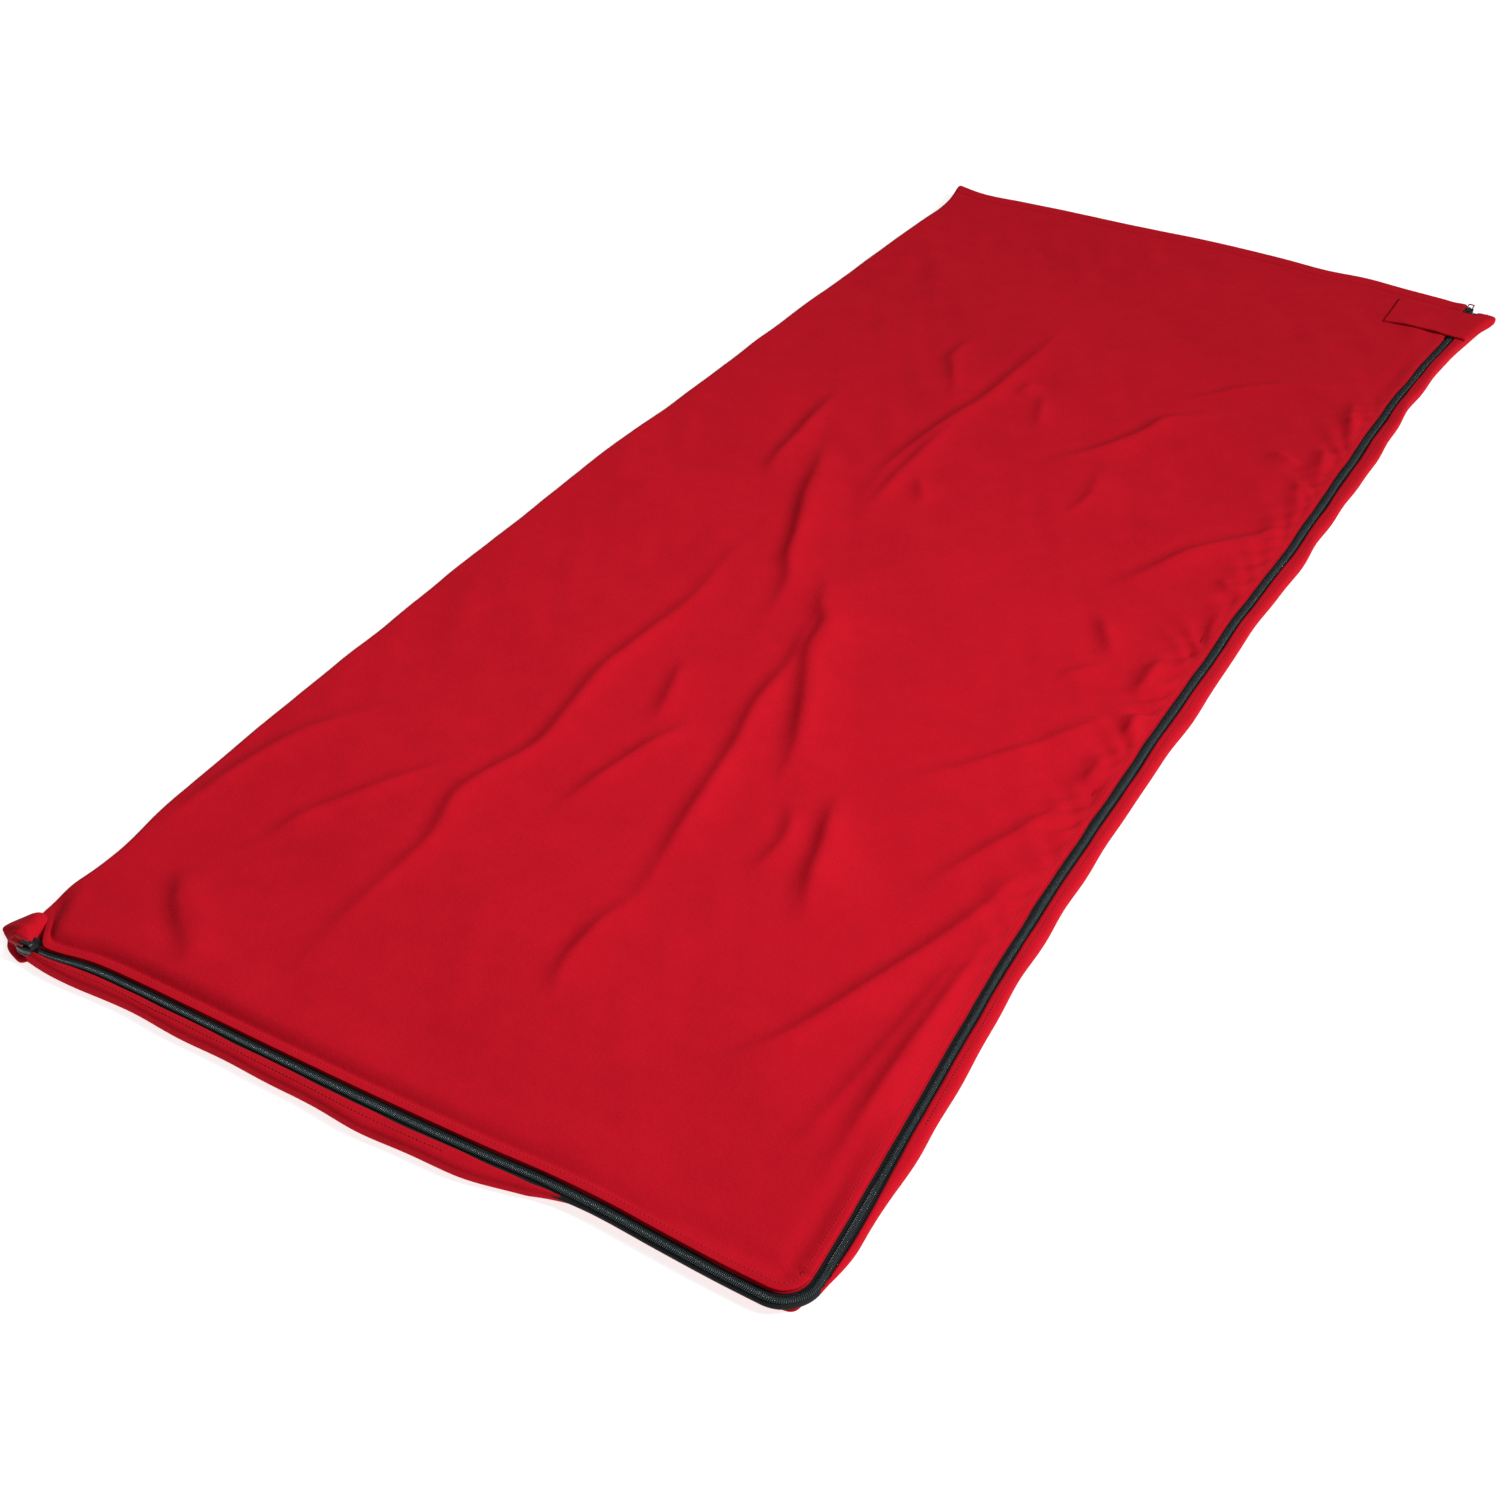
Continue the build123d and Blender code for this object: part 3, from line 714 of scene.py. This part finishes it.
def make_foot_ear(material):
    """The bottom cloth's corner past the foot slider: a small flat pillow with a pointed tip."""
    # Centimetres. Picked by eye in the photo, projected onto the plan by a helper script and reshaped by hand
    outline = np.array([
        (-35.4, -90.0), (-36.6, -89.3), (-37.8, -89.6), (-38.5, -90.7), (-38.9, -92.0), (-38.4, -92.5),
        (-37.5, -93.0), (-36.8, -93.7), (-35.7, -94.2), (-34.6, -94.4), (-34.2, -93.4), (-34.9, -92.2),
    ])
    count = 96
    at = np.arange(count) / count * len(outline)
    closed = np.concatenate([outline[-2:], outline, outline[:3]]) * 0.01
    rim = np.stack([through(list(zip(np.arange(-2, len(outline) + 3), closed[:, k])), at) for k in (0, 1)], 1)
    centre = np.array([-0.367, -0.918])
    tip, slider_side = np.array([-0.389, -0.926]), np.array([-0.352, -0.926])
    rings = [(rho, 1 - 0.75 * rho ** 4) for rho in np.linspace(0.06, 0.97, 12)] + [(1.0, 0.12)]
    floor_rings = [(1.0, 2.2), (0.96, 1.0), (0.5, 0.6), (0.06, 0.6)]
    run = (slider_side - tip) / np.linalg.norm(slider_side - tip)
    points = []
    for rho, full in rings:
        plan = centre + (rim - centre) * rho
        off = (plan - tip) @ np.array([-run[1], run[0]])
        valley = 1.6 * np.exp(-((off / (2.2 * MM)) ** 2))
        under_pull = 1 - 0.6 * smooth(-0.927, -0.935, plan[:, 1])
        thick = (5.0 + 9.0 * smooth(-0.388, -0.362, plan[:, 0])) * under_pull
        z = 2.6 + thick * full - valley * full + 0.4 * ripple(plan[:, 0], plan[:, 1], 0.02, 71) * full
        points.append(np.column_stack([plan, z * MM]))
    for rho, height in floor_rings:
        plan = centre + (rim - centre) * rho
        points.append(np.column_stack([plan, np.full(count, height * MM)]))
    faces = tube_faces(len(rings) + len(floor_rings), count, flip=True)
    return add_mesh("foot_ear", np.array(points), faces, material)


# ------------------------------------------------------------
# Closure tab

TAB_HALF_THICK = 0.9 * MM
PATCH_HALF_THICK = 0.18 * MM


def tab_surface(along, across):
    """The tab's middle surface, at shares of its length and width. Its end bends down over the border."""
    low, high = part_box("closure_tab")
    reach = high.x + (9 - 6 * across ** 2) * MM - low.x
    x = low.x + reach * along + 0 * across
    y = high.y - 4 * MM - (high.y - low.y) * across + 0 * along
    y = y + 3 * MM * across
    bend = np.clip((x - (high.x - 3 * MM)) / (12 * MM), 0, 1)
    edge_lift = 2.4 * MM * smooth(0.7, 1, across) * smooth(0.02, 0.3, along) * smooth(0.8, 0.6, along)
    z = 16.2 * MM - 7 * MM * bend ** 2 + edge_lift + 0.35 * MM * ripple(x, y, 0.05, 51)
    x = x + through(OUTER_BOW, y) * MM * 0.8 * smooth(ZIP_X, high.x, x) - 3 * MM * bend ** 2
    return np.stack([x, y, z], -1)


def make_tab(material):
    """A cloth tab that lies on the cover and the border."""
    points = tab_surface(np.linspace(0, 1, 48)[None, :], np.linspace(0, 1, 30)[:, None])
    return thick_sheet("tab_cloth", points, material, TAB_HALF_THICK)


def make_tab_root(material):
    low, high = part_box("tab_seam_tuck")
    near, far, under, over = low.x + 1 * MM, low.x + 11 * MM, 14.4 * MM, 15.4 * MM
    shape = rounded_path([(far, over), (near, over), (near, under), (far, under)], 1 * MM)
    section = closed_section(shape, 0.4 * MM)
    ys = np.linspace(high.y - 5 * MM, low.y - 3 * MM, 20)
    points = [[(x, y, z) for x, z in section] for y in ys]
    return add_mesh("tab_root", np.array(points), tube_faces(len(ys), len(section)), material)


def make_hook_tape(material):
    """A thin strip of hook tape sewn under the tab near its free end."""
    low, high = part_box("tab_hook_patch")
    tab_low, tab_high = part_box("closure_tab")
    reach = tab_high.x + 6 * MM - tab_low.x
    along = np.linspace((low.x - tab_low.x) / reach, (high.x - tab_low.x) / reach, 8)[None, :]
    points = tab_surface(along, np.linspace(0.05, 0.95, 40)[:, None])
    points[..., 2] -= TAB_HALF_THICK + 0.1 * MM
    return thick_sheet("hook_tape", points, material, PATCH_HALF_THICK)


def make_loop_tape(material):
    """A thin strip of loop tape on top of the border, which leans outward a little."""
    low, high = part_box("tab_loop_patch")
    x = np.linspace(low.x, high.x, 8)[None, :] + 0 * np.linspace(0, 1, 40)[:, None]
    y = np.linspace(high.y - 5 * MM, low.y + 1 * MM, 40)[:, None] + 0 * x
    height = BORDER_TOP_Z * MM - 0.05 * (x - low.x) + 0.05 * MM * ripple(x, y, 0.004, 81)
    x = x + through(OUTER_BOW, y) * MM * 0.8 * smooth(ZIP_X, high.x, x)
    return thick_sheet("loop_tape", np.stack([x, y, height], -1), material, PATCH_HALF_THICK)


# ------------------------------------------------------------
# Materials

class Nodes:
    """A short hand for building a node material."""

    def __init__(self, name):
        self.material = bpy.data.materials.new(name)
        self.material.use_nodes = True
        self.tree = self.material.node_tree
        self.shader = self.tree.nodes["Principled BSDF"]
        self.place = self.add("ShaderNodeTexCoord").outputs["Object"]

    def add(self, kind, **settings):
        node = self.tree.nodes.new(kind)
        for key, value in settings.items():
            setattr(node, key, value)
        return node

    def put(self, **values):
        for key, value in values.items():
            self.shader.inputs[key.replace("_", " ")].default_value = value

    def link(self, source, target):
        self.tree.links.new(source, target)

    def noise(self, scale, detail=3.0, roughness=0.55):
        node = self.add("ShaderNodeTexNoise")
        self.link(self.place, node.inputs["Vector"])
        for key, value in (("Scale", scale), ("Detail", detail), ("Roughness", roughness)):
            node.inputs[key].default_value = value
        return node.outputs["Fac"]

    def ramp(self, source, stops):
        node = self.add("ShaderNodeValToRGB")
        self.link(source, node.inputs["Fac"])
        marks = node.color_ramp.elements
        while len(marks) < len(stops):
            marks.new(0.5)
        for mark, (place, colour) in zip(marks, stops):
            mark.position, mark.color = place, (*colour, 1)
        return node.outputs["Color"]

    def mix(self, share, first, second, kind="MIX"):
        node = self.add("ShaderNodeMix", data_type="RGBA", blend_type=kind)
        for socket, value in zip((node.inputs[0], node.inputs[6], node.inputs[7]), (share, first, second)):
            if hasattr(value, "links"):
                self.link(value, socket)
            else:
                socket.default_value = value
        return node.outputs[2]

    def bump(self, height, distance, strength=1.0, after=None):
        node = self.add("ShaderNodeBump")
        node.inputs["Distance"].default_value = distance
        node.inputs["Strength"].default_value = strength
        self.link(height, node.inputs["Height"])
        if after is not None:
            self.link(after, node.inputs["Normal"])
        return node.outputs["Normal"]


def fleece(name):
    """Brushed polyester fleece: a dense short nap with soft brushed patches."""
    n = Nodes(name)
    deep, mid, light = ((0.535, 0.0064, 0.0175), (0.56, 0.0068, 0.0185), (0.585, 0.0072, 0.0195))
    patches = n.ramp(n.noise(34, 5, 0.6), [(0.3, deep), (0.5, mid), (0.72, light)])
    nap = n.ramp(n.noise(900, 2, 0.6), [(0.35, (0.82,) * 3), (0.65, (1.0,) * 3)])
    n.link(n.mix(0.55, patches, nap, "MULTIPLY"), n.shader.inputs["Base Color"])
    slow = n.bump(n.noise(55, 4, 0.6), 1.2 * MM, 0.35)
    tufts = n.bump(n.noise(260, 3, 0.65), 0.6 * MM, 0.5, slow)
    n.link(n.bump(n.noise(1300, 2, 0.6), 0.25 * MM, 0.5, tufts), n.shader.inputs["Normal"])
    n.put(Roughness=0.95, Specular_IOR_Level=0.04, Sheen_Weight=0.03, Sheen_Roughness=0.5,
          Sheen_Tint=(1.0, 0.12, 0.15, 1.0))
    return n.material


def woven(name, colour, pitch):
    """A narrow woven tape."""
    n = Nodes(name)
    heights = []
    for axis in ("X", "Y"):
        wave = n.add("ShaderNodeTexWave", wave_type="BANDS", bands_direction=axis)
        wave.inputs["Scale"].default_value = math.pi / 10 / pitch
        wave.inputs["Distortion"].default_value = 0.4
        n.link(n.place, wave.inputs["Vector"])
        heights.append(wave.outputs["Fac"])
    weave = n.mix(1.0, heights[0], heights[1], "DIFFERENCE")
    dark = tuple(c * 0.55 for c in colour)
    n.link(n.ramp(weave, [(0.2, dark), (0.8, colour)]), n.shader.inputs["Base Color"])
    n.link(n.bump(weave, 0.15 * MM, 0.6), n.shader.inputs["Normal"])
    n.put(Roughness=0.75, Specular_IOR_Level=0.3)
    return n.material


def plain(name, colour, roughness, metallic=0.0, speckle=300, depth=0.05 * MM):
    """Moulded or cast material with a slight surface grain."""
    n = Nodes(name)
    low = tuple(c * 0.8 for c in colour)
    grain = n.noise(speckle, 3, 0.6)
    n.link(n.ramp(grain, [(0.3, low), (0.7, colour)]), n.shader.inputs["Base Color"])
    rough = n.ramp(grain, [(0.3, (roughness * 0.8,) * 3), (0.7, (min(1, roughness * 1.2),) * 3)])
    n.link(rough, n.shader.inputs["Roughness"])
    n.link(n.bump(n.noise(speckle * 4, 2), depth, 0.4), n.shader.inputs["Normal"])
    n.put(Metallic=metallic)
    return n.material


cloth = fleece("fleece_red_nap")
thread = plain("thread_red", (0.42, 0.006, 0.014), 0.7, speckle=900)
tape_cloth = woven("zip_tape_weave", (0.009, 0.011, 0.013), 0.9 * MM)
# Both coil halves are one black nylon. The cover side's darker copy is painted shade, and the border side's
# lighter copy is painted light.
nylon_coil_painted_shade = plain("nylon_coil_painted_shade", (0.010, 0.020, 0.023), 0.24, speckle=800)
nylon_coil_painted_light = plain("nylon_coil_painted_light", (0.052, 0.085, 0.090), 0.2, speckle=800)
slider_coat = plain("slider_coat", (0.020, 0.021, 0.024), 0.3, 0.0, speckle=500)
# The pulls' dark red colour is a painted reflection of the red fleece on dark pulls.
pull_painted_reflection = plain("pull_painted_reflection", (0.30, 0.008, 0.016), 0.6, 0.0, speckle=500)
stop_moulding = plain("stop_moulding", (0.02, 0.02, 0.024), 0.45)
hook_and_loop = plain("hook_and_loop", (0.012, 0.012, 0.014), 0.85, speckle=1500, depth=0.6 * MM)

# ------------------------------------------------------------
# Camera, light and floor. A helper script fitted the camera's numbers to the photo's outline, and another
# searched for the overhead light's place.

scene = bpy.context.scene
scene.view_settings.view_transform = "Standard"


def make_camera(place, target, roll_degrees, lens):
    camera = bpy.data.objects.new("camera", bpy.data.cameras.new("camera"))
    scene.collection.objects.link(camera)
    ahead = (Vector(target) - Vector(place)).normalized()
    right = ahead.cross(Vector((0, 0, 1))).normalized()
    up = right.cross(ahead)
    c, s = math.cos(math.radians(roll_degrees)), math.sin(math.radians(roll_degrees))
    turn = ahead.to_track_quat("-Z", "Y").to_matrix()
    for row in range(3):
        turn[row][0] = c * right[row] + s * up[row]
        turn[row][1] = -s * right[row] + c * up[row]
        turn[row][2] = -ahead[row]
    camera.matrix_world = turn.to_4x4()
    camera.location = place
    camera.data.lens = lens
    camera.data.sensor_width = 36
    scene.camera = camera


def area_light(name, place, target, size, power, colour=(1, 1, 1)):
    light = bpy.data.objects.new(name, bpy.data.lights.new(name, "AREA"))
    scene.collection.objects.link(light)
    light.location = place
    light.rotation_euler = (Vector(target) - Vector(place)).to_track_quat("-Z", "Y").to_euler()
    light.data.shape = "DISK"
    light.data.size, light.data.energy, light.data.color = size, power, colour


make_camera((0.7562, -1.7663, 1.1629), (0.0169, -0.3886, 0), 1.496, 50.4)
area_light("overhead", (0.32, -0.4, 1.1), (0.2, -0.3, 0), 0.9, 5.7)
sun = bpy.data.objects.new("key", bpy.data.lights.new("key", "SUN"))
scene.collection.objects.link(sun)
sun.rotation_euler = Vector((-1.0, -0.35, -0.8)).to_track_quat("-Z", "Y").to_euler()
sun.data.energy, sun.data.angle = 2.45, math.radians(9)

world = bpy.data.worlds.new("studio")
world.use_nodes = True
world.node_tree.nodes["Background"].inputs["Color"].default_value = (1, 1, 1, 1)
world.node_tree.nodes["Background"].inputs["Strength"].default_value = 0.18
scene.world = world

floor_paint = Nodes("floor_paint")
floor_paint.link(floor_paint.ramp(floor_paint.noise(3), [(0.3, (0.46,) * 3), (0.7, (0.48,) * 3)]),
                 floor_paint.shader.inputs["Base Color"])
floor_paint.put(Roughness=0.9, Emission_Color=(1, 1, 1, 1), Emission_Strength=0.8)
ground = add_mesh("floor", [(-30, -30, 0), (30, -30, 0), (30, 30, 0), (-30, 30, 0)], [(0, 1, 2, 3)],
                  floor_paint.material, shade_smooth=False)

# ------------------------------------------------------------
# The bag

top_sheet = make_top_sheet(cloth)
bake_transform(top_sheet)
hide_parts("top_panel", "left_fold", "top_head_hem")

bottom_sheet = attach(make_bottom_sheet(cloth), "base")
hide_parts("bottom_panel", "bottom_head_hem")

cover_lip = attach(make_cover_lip(cloth), "cover")
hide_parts("cover_facing")
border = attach(make_border(cloth), "base")
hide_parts("foot_border", "corner_border", "side_border", "border_facing")

tape_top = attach(make_tape("tape_cover_side", -1, tape_cloth), "cover")
tape_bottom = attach(make_tape("tape_border_side", 1, tape_cloth), "base")
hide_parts("zip_tape_top")
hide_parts("zip_tape_bottom")
coil_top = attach(make_coil("coil_cover_side", -1, nylon_coil_painted_shade), "cover")
coil_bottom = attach(make_coil("coil_border_side", 1, nylon_coil_painted_light), "base")
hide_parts("zip_coil_top")
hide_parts("zip_coil_bottom")

lip_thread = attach(run_stitches("cover_lip_thread", COVER_STITCH_U * MM, thread), "cover")
side_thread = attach(run_stitches("side_border_thread", BORDER_STITCH_U * MM, thread, on_side), "base")
foot_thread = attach(run_stitches("foot_border_thread", BORDER_STITCH_U * MM, thread, on_foot), "base")
foot_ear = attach(make_foot_ear(cloth), "base")

tab_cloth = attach(make_tab(cloth), "tab")
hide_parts("closure_tab")
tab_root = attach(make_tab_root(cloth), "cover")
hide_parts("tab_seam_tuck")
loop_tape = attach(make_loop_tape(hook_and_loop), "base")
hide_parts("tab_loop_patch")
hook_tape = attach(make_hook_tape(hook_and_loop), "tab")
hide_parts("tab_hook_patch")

# Rigid CAD parts keep their shape, with softened edges and a finish; the pulls' red is a painted reflection
# of the red fleece
finishes = {
    "head_slider": slider_coat, "foot_slider": slider_coat, "head_slider_pull": pull_painted_reflection,
    "foot_slider_pull": pull_painted_reflection, "head_stop_bottom": stop_moulding, "head_stop_top": stop_moulding,
    "foot_stop_bottom": stop_moulding, "foot_stop_top": stop_moulding,
}
for node, material in finishes.items():
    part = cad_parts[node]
    part.data.materials.clear()
    part.data.materials.append(material)
    rounding = part.modifiers.new("rounded_edges", "BEVEL")
    rounding.width, rounding.segments, rounding.limit_method = 0.25 * MM, 2, "ANGLE"
